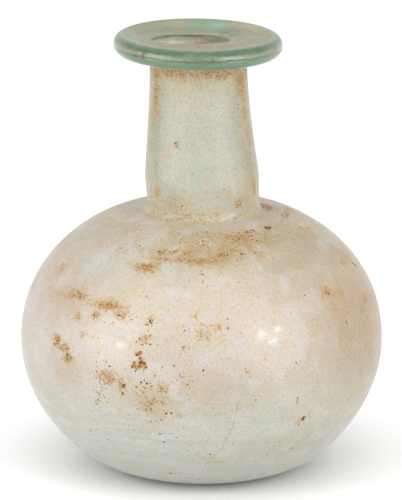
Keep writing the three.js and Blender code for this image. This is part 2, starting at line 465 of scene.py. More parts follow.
# The lines of the hairline crack and of a scratch, as (azimuth, height)
CRACK = [(11.4, 28.2), (10.1, 21.6), (7.2, 15.6), (4.2, 12.6), (0.8, 9.4)]
SCRATCH = [(-6, 41.2), (-7, 39), (-8.5, 37.2)]
LINE_WIDTH = 0.2
LINE_STEPS = 4

# Crumbs of soil in loose clusters, as (azimuth, height, how many, reach along, reach up, width of a crumb)
CRUMB_CLUSTERS = [
    (-18.6, 42.7, 9, 1.5, 1.2, 0.34),
    (-21.4, 37, 5, 0.5, 0.7, 0.6),
    (-19.3, 37.4, 8, 0.8, 0.8, 0.8),
    (-17.6, 36.7, 6, 0.7, 0.5, 0.7),
    (-20.3, 35.6, 4, 0.6, 0.4, 0.4),
    (-17, 31.6, 10, 1.6, 1.5, 0.26),
    (-24.7, 31.2, 5, 0.2, 0.6, 0.65),
    (-25, 29.4, 4, 0.2, 0.5, 0.5),
    (-34, 28.4, 44, 1.6, 7, 0.28),
    (-30, 32, 14, 1.8, 2.4, 0.26),
    (-16.5, 27.2, 50, 4.4, 2.8, 0.25),
    (-12, 31.4, 9, 1, 1.2, 0.3),
    (-4.6, 33.2, 12, 1.6, 1.6, 0.22),
    (-51.6, 38.2, 7, 0.9, 1.1, 0.4),
    (-47, 36.6, 8, 0.8, 1.5, 0.42),
    (-44.5, 36.4, 5, 0.8, 0.9, 0.26),
    (-34, 49.2, 16, 3.2, 0.9, 0.28),
    (-28.4, 47.3, 6, 0.7, 0.5, 0.38),
    (-49.5, 50, 10, 3, 0.9, 0.32),
    (-38.9, 46.3, 6, 0.8, 0.6, 0.34),
    (-17.2, 46.8, 7, 0.6, 1.3, 0.4),
    (-19.3, 51.9, 6, 0.7, 0.5, 0.24),
    (-20.4, 60.5, 9, 0.8, 0.6, 0.5),
    (-13, 60.8, 12, 3.2, 0.5, 0.32),
    (-10, 59.5, 34, 7.5, 0.45, 0.3),
    (-24, 57.8, 8, 1.6, 0.8, 0.3),
    (0, 57.1, 5, 0.4, 0.5, 0.36),
    (1.4, 62.5, 10, 1, 0.9, 0.32),
    (10.2, 60.4, 10, 1, 0.6, 0.44),
    (21, 60.3, 9, 2.6, 0.35, 0.34),
    (25, 62.6, 16, 3, 1, 0.3),
    (32.6, 63.8, 10, 0.9, 0.6, 0.44),
    (47.9, 63.7, 10, 0.7, 0.4, 0.66),
    (97, 65.7, 18, 2.4, 1.8, 0.34),
    (82, 64, 10, 3, 1.2, 0.28),
    (72, 45.3, 6, 0.7, 1, 0.26),
    (12, 66, 22, 7, 1.6, 0.27),
    (-22, 67.5, 10, 3, 1.4, 0.26),
    (40, 69.3, 9, 1.2, 1.2, 0.3),
    (20, 63.6, 26, 7, 1.6, 0.27),
    (-8, 62.6, 14, 6, 1.2, 0.27),
    (60, 62.5, 10, 4, 1.6, 0.27),
    (50.6, 50.1, 6, 0.7, 0.8, 0.34),
    (0, 45, 8, 1.4, 1.8, 0.22),
    (31.5, 26.4, 5, 0.5, 1, 0.34),
    (37, 21.8, 5, 0.8, 0.6, 0.22),
    (-60, 96, 18, 1.2, 5, 0.28),
    (58, 96, 22, 1.6, 5, 0.28),
    (-38, 101.2, 10, 1.2, 0.9, 0.3),
    (-8, 101.4, 14, 5, 0.7, 0.28),
    (26, 101.2, 20, 4.5, 1, 0.28),
    (64, 78, 9, 0.8, 6, 0.24),
    (-50, 76, 9, 1.2, 6, 0.24),
    (0, 86, 12, 7, 12, 0.2),
    (-27, 83.9, 6, 0.5, 0.7, 0.3),
    (150, 52, 20, 5, 2, 0.38),
    (-140, 38, 22, 4, 3, 0.38),
    (-165, 60, 14, 4, 1.2, 0.36),
    (115, 30, 12, 3, 3, 0.3),
]

# Crumbs that lie by themselves and dark streaks, as (azimuth, height, width, length, lean to the right)
LONE_CRUMBS = [
    (-16.6, 43.9, 0.48, 0.56, 0),
    (-16.4, 41.9, 0.5, 0.56, 20),
    (-19, 41.7, 0.46, 0.6, 90),
    (-21.1, 42.2, 0.42, 0.44, 0),
    (-18.4, 43.7, 0.42, 0.5, 90),
    (-22.8, 41.1, 0.34, 0.38, 0),
    (-19.6, 39.8, 0.95, 1.1, 35),
    (-20.5, 39.2, 0.7, 0.8, 80),
    (-18.8, 32.7, 0.56, 0.66, -40),
    (-17.8, 33.2, 0.5, 0.6, 0),
    (-17, 32.5, 0.62, 0.72, -30),
    (-20.4, 31.4, 0.4, 0.44, 0),
    (-15.5, 31.9, 0.36, 0.44, 0),
    (-14.4, 34.6, 0.48, 0.52, 0),
    (-12.1, 36.8, 0.32, 0.34, 0),
    (-8.5, 37.3, 0.46, 0.52, 0),
    (-5.6, 41.7, 0.5, 0.56, 0),
    (0.5, 36.3, 0.44, 0.46, 0),
    (-4.4, 32.8, 0.42, 0.46, 0),
    (-30.9, 36.6, 0.38, 0.42, 0),
    (-29.7, 35.6, 0.52, 0.52, 0),
    (-34.9, 41.8, 0.4, 0.44, 0),
    (-24, 47, 0.42, 0.42, 0),
    (-17.3, 47.1, 0.6, 0.8, 20),
    (-5.4, 45.4, 0.4, 0.44, 90),
    (-59.5, 40.1, 0.36, 0.5, 0),
    (-51.8, 60.8, 0.34, 0.4, 90),
    (-33.5, 61.2, 0.36, 0.4, 90),
    (-20.7, 57, 0.4, 0.44, 90),
    (0.6, 55.6, 0.5, 0.95, 30),
    (-59.4, 66.6, 0.36, 1.6, -15),
    (-21.6, 69.3, 0.4, 0.6, 80),
    (3.2, 64.4, 0.5, 0.6, 0),
    (8.8, 47.9, 0.42, 0.44, 0),
    (8.7, 45.9, 0.56, 0.6, 30),
    (13.1, 44.6, 0.36, 0.4, 0),
    (14, 35.5, 0.44, 0.56, 90),
    (30.7, 36.4, 0.44, 0.44, 0),
    (17, 28.3, 0.44, 0.48, 90),
    (39.9, 50.9, 0.4, 0.46, 60),
    (31.5, 27.4, 0.36, 0.5, 40),
    (35, 21.3, 0.85, 1.5, 25),
    (33.7, 19.6, 0.36, 0.8, 50),
    (22.4, 19.6, 0.32, 0.44, 90),
    (28, 15.5, 0.32, 0.5, 0),
    (24.5, 11.8, 0.34, 0.44, 90),
    (34.8, 12.6, 0.34, 1.1, 65),
    (3, 13.4, 0.42, 0.7, 30),
    (-13.9, 28, 0.46, 0.5, 0),
    (-11.1, 25.1, 0.56, 0.62, 90),
    (-9.4, 25.3, 0.5, 0.62, 90),
    (-12.8, 23.3, 0.36, 0.5, 50),
    (-16.3, 22.6, 0.34, 0.44, 90),
    (-13.8, 19.2, 0.42, 0.6, 90),
    (-8.3, 18.5, 0.3, 0.36, 0),
    (-12.7, 16.9, 0.38, 0.66, 80),
    (-41.4, 16.9, 0.36, 0.7, -30),
    (-34.8, 15.3, 0.24, 0.6, 90),
    (-31.4, 11.4, 0.28, 0.36, 0),
    (-14, 6.4, 0.42, 0.85, 100),
    (-1.8, 4.6, 0.36, 0.8, 100),
    (81.3, 52.1, 0.45, 2.8, -35),
    (54.8, 42.6, 0.32, 1.6, -8),
    (140, 44, 0.44, 0.5, 0),
    (-120, 52, 0.44, 0.5, 0),
]

# How far a cluster spreads in its reach, then the crumbs' widths as shares of what the list gives, their
# lengths as shares of their widths, and their shape
CLUSTER_SPREAD = 0.6
CRUMB_WIDTHS = (0.55, 1.25)
CRUMB_LENGTHS = (1, 1.5)
CRUMB_SIDES = 7
CRUMB_RINGS = (-38, 0, 38)
CRUMB_JITTER = 0.28
CRUMB_THICKNESS = 0.35
SHADE_BIAS = 1.1

# Small reliefs, in millimetres into the wall, each as (azimuth, height or radius, reach, depth)
ROLL_PITS = [(-41, 106.7, 0.66, 0.32), (10, 106.5, 0.5, 0.2), (-47, 106.2, 0.34, 0.15)]
DISH_BUMPS = [(-167, 12.3, 0.4, -0.26), (-163, 12.6, 0.4, -0.24), (-159, 12.3, 0.35, -0.22)]
FOLD_HEIGHT = 106.15
FOLD_HALF_WIDTH = 0.3
FOLD_DEPTH = 0.16
FOLD_BREAKS = 2.5
FOLD_LEAST = 0.35
STRIATION_DEPTH = 0.035
STRIATION_SPACING = 1.6
WAVE_DEPTH = 0.14
WAVE_LENGTH = 19
WAVES_FROM = (1, 9)
WAVES_UP_TO = 99


class Wall:
    """The turned profile as a grid of vertices, one row to a ring, in millimetres."""

    def __init__(self):
        self.points, self.zones = profile()
        # The levels of the patches are heights before the wall sank
        heights = self.points[:, 1].copy()
        self.points[:, 1] -= root_dip(self.points)
        self.turns = np.linspace(0, 2 * math.pi, SEGMENTS, endpoint=False)
        steps = np.linalg.norm(np.diff(self.points, axis=0), axis=1)
        self.arc = np.concatenate([[0], np.cumsum(steps)])
        tangents = np.gradient(self.points, self.arc, axis=0)
        tangents /= np.linalg.norm(tangents, axis=1)[:, None]
        self.normals = np.column_stack([tangents[:, 1], -tangents[:, 0]])

        heel = np.flatnonzero(heights <= 0)[-1]
        brow = np.argmax(heights)
        lip_end = np.flatnonzero(self.zones == RIM)[-1]
        climb = np.arange(heel, brow + 1)
        dish = np.arange(lip_end, brow, -1)
        self.climb = climb, heights[climb]
        self.dish = dish, self.points[dish, 0]

        self.depth = self.relief()
        sunk = self.points[:, None] - self.normals[:, None] * self.depth[..., None]
        turned = [sunk[..., 0] * np.sin(self.turns), -sunk[..., 0] * np.cos(self.turns), sunk[..., 1]]
        self.grid = off_axis(np.stack(turned, axis=-1))

    def near(self, patches, stretch):
        """How close each vertex is to the nearest of some patches, from 0 to 1."""
        rows, levels = stretch
        closeness = np.zeros((len(self.points), SEGMENTS))
        for azimuth, level, along_reach, up_reach, strength in patches:
            place = np.interp(level, levels, self.arc[rows])
            turn = (self.turns - math.radians(azimuth) + math.pi) % (2 * math.pi) - math.pi
            along = turn * self.points[rows, 0][:, None] / along_reach
            up = ((self.arc[rows] - place) / up_reach)[:, None]
            closeness[rows] = np.maximum(closeness[rows], strength * np.exp(-(along**2) - up**2))
        return closeness

    def roll_turn(self):
        """How far round the rim's roll each vertex lies, from 0 below to 1 on top and on the dish."""
        rows = self.zones == RIM
        on_roll = rows & (self.points[:, 0] > RIM_RADIUS - ROLL_RADIUS)
        rise = np.clip((self.points[:, 1] - OVERALL_HEIGHT + ROLL_RADIUS) / ROLL_RADIUS, -1, 1)
        turned = np.where(on_roll, np.arcsin(rise) / math.pi + 0.5, 1.0)
        turned[rows & ~on_roll & (self.points[:, 1] <= DISC_UNDERSIDE)] = 0
        return np.repeat(turned[:, None], SEGMENTS, axis=1)

    def relief(self):
        """How far each vertex sinks into the wall: waves, tooling marks, the rim's fold and its pits."""
        heights = self.points[:, 1]
        depth = np.zeros((len(self.points), SEGMENTS))
        outer = np.flatnonzero((self.zones == OUTSIDE) & (heights > 0))
        fade = smoothstep(heights, *WAVES_FROM) * (1 - smoothstep(heights, WAVES_UP_TO, DISC_UNDERSIDE))
        for row in outer:
            radius, height = self.points[row]
            for column, turn in enumerate(self.turns):
                spot = Vector((radius * math.sin(turn), radius * math.cos(turn), height))
                wave = 0.5 + 0.5 * noise.noise(spot / WAVE_LENGTH)
                along = Vector((math.sin(turn), math.cos(turn), height / STRIATION_SPACING))
                mark = 0.5 + 0.5 * noise.noise(along)
                depth[row, column] = (WAVE_DEPTH * wave + STRIATION_DEPTH * mark) * fade[row]
        roll = np.flatnonzero((self.zones == RIM) & (self.points[:, 0] > RIM_RADIUS - ROLL_RADIUS / 2))
        seam = np.exp(-(((heights[roll] - FOLD_HEIGHT) / FOLD_HALF_WIDTH) ** 2))[:, None]
        around = [Vector((math.sin(turn), math.cos(turn), 0)) * FOLD_BREAKS for turn in self.turns]
        worn = np.array([noise.noise(spot + Vector((0, 0, 7))) for spot in around])
        depth[roll] += FOLD_DEPTH * seam * (FOLD_LEAST + (1 - FOLD_LEAST) * smoothstep(worn, -0.35, 0.25))
        for marks, stretch in ((ROLL_PITS, self.climb), (DISH_BUMPS, self.dish)):
            for azimuth, level, reach, sink in marks:
                depth += sink * self.near([(azimuth, level, reach, reach, 1)], stretch)
        return depth

    def on_surface(self, azimuth, height, along=0.0, up=0.0):
        """The point of the outside at an azimuth and height, moved over the wall, and its way out."""
        rows, levels = self.climb
        place = np.interp(height, levels, self.arc[rows]) + up
        radius, level, way_out, way_up = (
            np.interp(place, self.arc[rows], column[rows]) for column in (*self.points.T, *self.normals.T)
        )
        turn = math.radians(azimuth) + along / radius
        row = rows[np.argmin(np.abs(self.arc[rows] - place))]
        sunk = self.depth[row, round(turn / (2 * math.pi) * SEGMENTS) % SEGMENTS]
        radius, level = radius - way_out * sunk, level - way_up * sunk
        point = off_axis(np.array([radius * math.sin(turn), -radius * math.cos(turn), level]))
        return Vector(point), Vector((way_out * math.sin(turn), -way_out * math.cos(turn), way_up))


class Soil:
    """The crumbs that stick to the outside, as lumps that are half sunk in the wall. Millimetres."""

    def __init__(self, wall):
        self.wall = wall
        self.dice = random.Random(SEED)
        self.vertices, self.faces, self.shades = [], [], []
        for azimuth, height, count, reach_along, reach_up, width in CRUMB_CLUSTERS:
            for crumb in range(count):
                along, up = (self.dice.gauss(0, reach * CLUSTER_SPREAD) for reach in (reach_along, reach_up))
                across = width * self.dice.uniform(*CRUMB_WIDTHS)
                length = across * self.dice.uniform(*CRUMB_LENGTHS)
                self.crumb(azimuth, height, along, up, across, length, self.dice.uniform(0, 180))
        for azimuth, height, width, length, lean in LONE_CRUMBS:
            self.crumb(azimuth, height, 0, 0, width, length, lean)

    def crumb(self, azimuth, height, along, up, width, length, lean):
        """One lump on the wall, longest along its lean from upright."""
        point, normal = self.wall.on_surface(azimuth, height, along, up)
        side = Vector((0, 0, 1)).cross(normal).normalized()
        rise = normal.cross(side)
        turn = math.radians(lean)
        long_way = rise * math.cos(turn) + side * math.sin(turn)
        wide_way = side * math.cos(turn) - rise * math.sin(turn)
        first = len(self.vertices)
        for level in (-90, *CRUMB_RINGS, 90):
            flat = math.cos(math.radians(level))
            for step in range(CRUMB_SIDES if flat > 0.01 else 1):
                spin = step / CRUMB_SIDES * 2 * math.pi
                size = 0.5 * (1 + self.dice.uniform(-CRUMB_JITTER, CRUMB_JITTER))
                offset = wide_way * (width * flat * math.cos(spin))
                offset += long_way * (length * flat * math.sin(spin))
                offset += normal * (width * CRUMB_THICKNESS * math.sin(math.radians(level)))
                self.vertices.append(tuple(point + offset * size))
        self.add_faces(first)
        self.shades += [self.dice.random() ** SHADE_BIAS] * (len(self.vertices) - first)

    def add_faces(self, first):
        """Joins the rings of one lump, and its two ends, from the first of its vertices."""
        rings = [
            [first + 1 + ring * CRUMB_SIDES + step for step in range(CRUMB_SIDES)]
            for ring in range(len(CRUMB_RINGS))
        ]
        last = first + 1 + len(rings) * CRUMB_SIDES
        for step in range(CRUMB_SIDES):
            following = (step + 1) % CRUMB_SIDES
            self.faces.append((first, rings[0][following], rings[0][step]))
            for low, high in zip(rings, rings[1:]):
                self.faces.append((low[step], low[following], high[following], high[step]))
            self.faces.append((last, rings[-1][step], rings[-1][following]))


def make_flask(wall, soil):
    """The wall as one closed mesh with its soil, a material for each zone, and as masks its weathering and
    the places where light and shade are painted.
    """
    rings = wall.grid[1:-1]
    poles = wall.grid[[0, -1], 0]
    vertices = np.vstack([rings.reshape(-1, 3), poles])
    indices = np.arange(rings.shape[0] * SEGMENTS).reshape(rings.shape[:2])
    following = np.roll(indices, -1, axis=1)
    quads = np.stack([indices[:-1], following[:-1], following[1:], indices[1:]], axis=-1)
    faces = [tuple(quad) for quad in quads.reshape(-1, 4).tolist()]
    first_pole, last_pole = len(vertices) - 2, len(vertices) - 1
    faces += [(first_pole, b, a) for a, b in zip(indices[0].tolist(), following[0].tolist())]
    faces += [(last_pole, a, b) for a, b in zip(indices[-1].tolist(), following[-1].tolist())]
    faces += [tuple(corner + len(vertices) for corner in face) for face in soil.faces]
    caps = [np.full(SEGMENTS, OUTSIDE), np.full(SEGMENTS, INSIDE), np.full(len(soil.faces), CRUMBS)]
    face_zones = np.concatenate([np.repeat(wall.zones[2:-1], SEGMENTS), *caps])

    mesh = bpy.data.meshes.new("flask_wall")
    mesh.from_pydata((np.vstack([vertices, soil.vertices]) * MM).tolist(), [], faces)
    mesh.polygons.foreach_set("material_index", face_zones.astype(np.int32))
    mesh.polygons.foreach_set("use_smooth", np.ones(len(faces), bool))
    masks = {
        "orange": wall.near(ORANGE_PATCHES, wall.climb),
        "root_soil": wall.near(ROOT_SOIL_PATCHES, wall.climb),
        "bluish": wall.near(BLUISH_PATCHES, wall.climb),
        "cream": wall.near(CREAM_PATCHES, wall.climb),
        "beige": wall.near(BEIGE_PATCHES, wall.climb),
        "lilac_edge_shade": wall.near(LILAC_EDGE_SHADE_PATCHES, wall.climb),
        "olive_stain_and_edge_shade": wall.near(OLIVE_STAIN_AND_EDGE_SHADE_PATCHES, wall.climb),
        "painted_glints": wall.near(PAINTED_GLINT_PATCHES, wall.climb),
        "gloss": wall.near(GLOSS_PATCHES, wall.climb),
        "roll": wall.roll_turn(),
        "painted_roll_sheen": wall.near(PAINTED_ROLL_SHEEN_PATCHES, wall.climb),
        "painted_roll_shade": wall.near(PAINTED_ROLL_SHADE_PATCHES, wall.climb),
        "pits": wall.near([(*place, reach, reach, 1) for *place, reach, sink in ROLL_PITS], wall.climb),
        "turquoise": wall.near(TURQUOISE_PATCHES, wall.dish),
        "deep_green": wall.near(DEEP_GREEN_PATCHES, wall.dish),
        "pink": wall.near(PINK_PATCHES, wall.dish),
        "dish_film": wall.near(DISH_FILM_PATCHES, wall.dish),
        "lip_soil_and_shadow": wall.near(LIP_SOIL_AND_SHADOW_PATCHES, wall.dish),
        "lip_rust": wall.near(LIP_RUST_PATCHES, wall.dish),
    }
    for name, mask in masks.items():
        values = np.concatenate([mask[1:-1].ravel(), mask[[0, -1], 0], np.zeros(len(soil.vertices))])
        mesh.attributes.new(name, "FLOAT", "POINT").data.foreach_set("value", values.astype(np.float32))
    shades = np.concatenate([np.zeros(len(vertices)), soil.shades]).astype(np.float32)
    mesh.attributes.new("shade", "FLOAT", "POINT").data.foreach_set("value", shades)
    mesh.update()
    piece = bpy.data.objects.new("flask_wall", mesh)
    bpy.context.scene.collection.objects.link(piece)
    return piece


def linear(red, green, blue):
    """A colour given as 0 to 255, as light."""
    channels = (c / 255 for c in (red, green, blue))
    return tuple(c / 12.92 if c <= 0.04045 else ((c + 0.055) / 1.055) ** 2.4 for c in channels) + (1.0,)


class Recipe:
    """One material. Each call adds nodes and returns the socket that they make."""

    def __init__(self, name, plain_values):
        self.material = bpy.data.materials.new(name)
        self.material.use_nodes = True
        self.nodes = self.material.node_tree.nodes
        self.shader = self.nodes["Principled BSDF"]
        self.place = self.nodes.new("ShaderNodeTexCoord").outputs["Object"]
        for socket, value in plain_values.items():
            self.shader.inputs[socket].default_value = value

    def feed(self, socket, value):
        if isinstance(value, bpy.types.NodeSocket):
            self.material.node_tree.links.new(value, socket)
        else:
            socket.default_value = value

    def add(self, kind, inputs, output=0, **settings):
        node = self.nodes.new("ShaderNode" + kind)
        for name, value in settings.items():
            setattr(node, name, value)
        for socket, value in inputs.items():
            self.feed(node.inputs[socket], value)
        return node.outputs[output]

    def finish(self, **sockets):
        """Links what the recipe made to the shader, by socket name with _ for a space."""
        for socket, value in sockets.items():
            self.feed(self.shader.inputs[socket.replace("_", " ")], value)
        return self.material

    def times(self, *values):
        product = values[0]
        for value in values[1:]:
            product = self.add("Math", {0: product, 1: value}, operation="MULTIPLY")
        return product

    def plus(self, *values):
        total = values[0]
        for value in values[1:]:
            total = self.add("Math", {0: total, 1: value}, operation="ADD")
        return total

    def most(self, a, b):
        return self.add("Math", {0: a, 1: b}, operation="MAXIMUM")

    def fade(self, value, low, high, start=0.0, end=1.0):
        """Runs smoothly from start to end while the value runs from low to high."""
        inputs = {"Value": value, "From Min": low, "From Max": high, "To Min": start, "To Max": end}
        return self.add("MapRange", inputs, interpolation_type="SMOOTHSTEP")

    def mix(self, base, over, amount, blend="MIX"):
        inputs = {0: amount, 6: base, 7: over}
        return self.add("Mix", inputs, output=2, data_type="RGBA", blend_type=blend)

    def mask(self, name):
        return self.add("Attribute", {}, output="Fac", attribute_name=name)

    def scaled(self, size, stretch=(1, 1, 1), shift=0.0):
        """The place on the flask, counted in steps of so many millimetres."""
        scale = tuple(1 / (size * MM * along) for along in stretch)
        return self.add("Mapping", {"Vector": self.place, "Location": (shift,) * 3, "Scale": scale})

    def noise(self, size, stretch=(1, 1, 1), detail=3.0, roughness=0.55, shift=0.0):
        """Noise with lumps of about so many millimetres."""
        inputs = {"Vector": self.scaled(size, stretch, shift), "Scale": 1.0}
        return self.add("TexNoise", {**inputs, "Detail": detail, "Roughness": roughness})

    def specks(self, spacing, radius, chance, shift=0.0):
        """Ragged spots about so many millimetres apart, of which only a share is there."""
        place = self.scaled(spacing, shift=shift)
        ragged = self.add("TexNoise", {"Vector": place, "Scale": 2.6, "Detail": 1.0}, output="Color")
        inputs = {0: 0.45, 6: place, 7: ragged}
        place = self.add("Mix", inputs, output=2, data_type="RGBA", blend_type="ADD")
        cells = self.nodes.new("ShaderNodeTexVoronoi")
        self.feed(cells.inputs["Vector"], place)
        cells.inputs["Scale"].default_value = 1.0
        draw = self.add("SeparateColor", {0: cells.outputs["Color"]})
        chosen = self.add("Math", {0: draw, 1: chance}, operation="LESS_THAN")
        spot = self.fade(cells.outputs["Distance"], radius / spacing, 0.6 * radius / spacing)
        return self.times(spot, chosen)

    def height(self):
        """The height on the flask, from 0 at its foot to 1 at its top."""
        up = self.add("SeparateXYZ", {0: self.place}, output="Z")
        return self.times(up, 1 / (OVERALL_HEIGHT * MM))

    def ramp(self, value, stops):
        """A colour that changes along a value, from (where, colour) pairs."""
        node = self.nodes.new("ShaderNodeValToRGB")
        elements = node.color_ramp.elements
        for spare in range(len(stops) - 2):
            elements.new(0.5)
        for element, (where, color) in zip(elements, stops):
            element.position = where
            element.color = color
        self.feed(node.inputs[0], value)
        return node.outputs["Color"]

    def bump(self, height, depth, strength=1.0, under=None):
        """Fine relief, with its depth in millimetres."""
        inputs = {"Height": height, "Distance": depth * MM, "Strength": strength}
        if under:
            inputs["Normal"] = under
        return self.add("Bump", inputs)

    def along_line(self, ends, width):
        """A thin line on the flask between two points, from 1 on it to 0 off it. Metres."""
        start, end = ends
        way = end - start
        offset = self.add("VectorMath", {0: self.place, 1: start}, operation="SUBTRACT")
        shares = {0: offset, 1: way / way.length_squared}
        dot = self.add("VectorMath", shares, output="Value", operation="DOT_PRODUCT")
        share_along = self.add("Math", {0: dot, 1: 0.0}, operation="ADD", use_clamp=True)
        step = self.add("VectorMath", {0: way, "Scale": share_along}, operation="SCALE")
        gap = self.add("VectorMath", {0: offset, 1: step}, output="Value", operation="DISTANCE")
        return self.fade(gap, width / 2, width / 5)

    def drawn(self, wall, path):
        """A thin line on the wall through points of azimuth and height, from 1 on it to 0 off it."""
        stops = np.linspace(0, len(path) - 1, (len(path) - 1) * LINE_STEPS + 1)
        places = zip(*(np.interp(stops, range(len(path)), column) for column in zip(*path)))
        points = [wall.on_surface(azimuth, height)[0] * MM for azimuth, height in places]
        lines = [self.along_line(ends, LINE_WIDTH * MM) for ends in zip(points, points[1:])]
        whole = lines[0]
        for line in lines[1:]:
            whole = self.most(whole, line)
        return whole


# The colours of clean glass, film and dirt, and of painted highlights, sheen and shade
FOOT_FILM = linear(198, 205, 195)
LOW_FILM = linear(209, 210, 198)
MIDDLE_FILM = linear(214, 203, 190)
UPPER_FILM = linear(216, 201, 179)
SHOULDER_FILM = linear(198, 193, 171)
ROOT_FILM = linear(216, 207, 182)
NECK_FILM = linear(194, 198, 183)
NECK_TOP_FILM = linear(206, 200, 166)
BLUISH = linear(206, 216, 212)
CREAM = linear(228, 217, 205)
BEIGE = linear(213, 189, 154)
# Painted edge shade
LILAC_EDGE_SHADE = linear(240, 238, 246)
# Olive stain, also painted shade at the sides of the neck
OLIVE_STAIN_AND_EDGE_SHADE = linear(218, 212, 182)
TAN = linear(214, 188, 154)
# Painted glints
PAINTED_GLINT = linear(252, 248, 238)
# Painted sheen on the roll's ends
PAINTED_ROLL_SHEEN = linear(186, 190, 180)
PALE_GREY = linear(217, 213, 213)
GRAIN_SHADE = linear(224, 219, 210)
GREEN_GREY = linear(178, 184, 160)
OCHRE = linear(220, 180, 108)
ORANGE = linear(206, 152, 68)
RUST = linear(154, 102, 50)
SOIL = linear(100, 70, 40)
TEAL = linear(114, 147, 124)
ROLL_LINE = linear(88, 112, 94)
# The painted highlight along the roll
ROLL_PAINTED_HIGHLIGHT = linear(156, 168, 144)
ROLL_DARK = linear(78, 112, 84)
DISH_GREEN = linear(146, 162, 130)
DISH_FILM = linear(170, 154, 118)
TURQUOISE = linear(140, 190, 180)
DEEP_GREEN = linear(92, 126, 96)
PINK_STAIN = linear(204, 168, 136)
BORE_BEIGE = linear(226, 204, 172)
BORE_GREEN = linear(178, 206, 176)
# A painted highlight band in the bore
BORE_PAINTED_HIGHLIGHT = linear(255, 246, 226)

# The pale bloom that the film takes on where it is seen edgeways
EDGE_BLOOM = {"Sheen Weight": 0.25, "Sheen Roughness": 0.4, "Sheen Tint": linear(250, 246, 252)}


def milky_film(recipe, height, cloudy):
    """The colour of the film, which changes from the foot to the rim and in broad patches, with painted
    shade at the left edge and at the sides of the neck.
    """
    wobble = recipe.fade(recipe.noise(9, detail=2), 0.2, 0.8, -0.045, 0.045)
    stops = [
        (0.0, FOOT_FILM),
        (0.13, FOOT_FILM),
        (0.25, LOW_FILM),
        (0.36, MIDDLE_FILM),
        (0.48, UPPER_FILM),
        (0.56, SHOULDER_FILM),
        (0.61, ROOT_FILM),
        (0.67, NECK_FILM),
        (0.86, NECK_FILM),
        (0.95, NECK_TOP_FILM),
    ]
    color = recipe.ramp(recipe.plus(height, wobble), stops)
    color = recipe.mix(color, BLUISH, recipe.times(recipe.mask("bluish"), recipe.fade(cloudy, 0.3, 0.6)))
    color = recipe.mix(color, CREAM, recipe.times(recipe.mask("cream"), recipe.fade(cloudy, 0.7, 0.35, 0.3)))
    color = recipe.mix(color, BEIGE, recipe.mask("beige"), "MULTIPLY")
    # Olive stains, with painted shade at the sides of the neck
    color = recipe.mix(color, OLIVE_STAIN_AND_EDGE_SHADE, recipe.mask("olive_stain_and_edge_shade"), "MULTIPLY")
    # Painted lilac shade at the left edge
    color = recipe.mix(color, LILAC_EDGE_SHADE, recipe.mask("lilac_edge_shade"), "MULTIPLY")
    washed = recipe.noise(4.5, detail=3, roughness=0.5, shift=17)
    washed = recipe.times(recipe.fade(washed, 0.42, 0.72, 0.0, 0.75), recipe.fade(height, 0.66, 0.6, 0.35))
    washed = recipe.times(washed, recipe.fade(recipe.mask("beige"), 0.1, 0.6, 1.0, 0.25))
    return recipe.mix(color, PALE_GREY, washed)


def mottling(recipe, color, height, grain):
    """The film's clouds, mottles and grain, its brushed streaks and the neck's upright dashes."""
    clouds = recipe.noise(3.2, detail=3, roughness=0.6, shift=29)
    color = recipe.mix(color, TAN, recipe.fade(clouds, 0.5, 0.7, 0.0, 0.3))
    mottle = recipe.noise(1.3, detail=5, roughness=0.8, shift=7)
    color = recipe.mix(color, TAN, recipe.fade(mottle, 0.51, 0.64, 0.0, 0.5))
    color = recipe.mix(color, GREEN_GREY, recipe.fade(mottle, 0.46, 0.34, 0.0, 0.28))
    brushed = recipe.fade(recipe.noise(1.1, stretch=(14, 14, 1), detail=4), 0.45, 0.7)
    streaky = recipe.most(recipe.fade(height, 0.3, 0.16), recipe.fade(height, 0.48, 0.56, 0.15, 0.7))
    color = recipe.mix(color, GREEN_GREY, recipe.times(brushed, streaky, 0.4))
    color = recipe.mix(color, GRAIN_SHADE, recipe.fade(grain, 0.5, 0.66, 0.0, 0.8), "MULTIPLY")
    color = recipe.mix(color, CREAM, recipe.fade(grain, 0.46, 0.34, 0.0, 0.35))
    dashes = recipe.noise(0.45, stretch=(1, 1, 4), detail=2, roughness=0.7, shift=13)
    dashes = recipe.times(recipe.fade(dashes, 0.58, 0.72), recipe.fade(height, 0.63, 0.67))
    return recipe.mix(color, GREEN_GREY, recipe.times(dashes, 0.35), "MULTIPLY")


def soil_stains(recipe, height):
    """Where the wall is stained: how strongly, and the amount of soil there, broken up into grit."""
    under_rim = recipe.fade(height, 0.895, 0.935, 0.0, 0.74)
    round_root = recipe.times(recipe.fade(height, 0.5, 0.57), recipe.fade(height, 0.7, 0.63), 0.28)
    round_root = recipe.plus(round_root, recipe.times(recipe.mask("root_soil"), 0.4))
    stained = recipe.most(recipe.mask("orange"), recipe.most(under_rim, round_root))
    grit = recipe.fade(recipe.noise(0.8, detail=5, roughness=0.95, shift=19), 0.39, 0.61)
    drifts = recipe.fade(recipe.noise(3.4, detail=3, roughness=0.7, shift=23), 0.35, 0.65)
    amount = recipe.plus(recipe.times(stained, 1.1), recipe.times(grit, 1.05), recipe.times(drifts, 0.35))
    return stained, amount


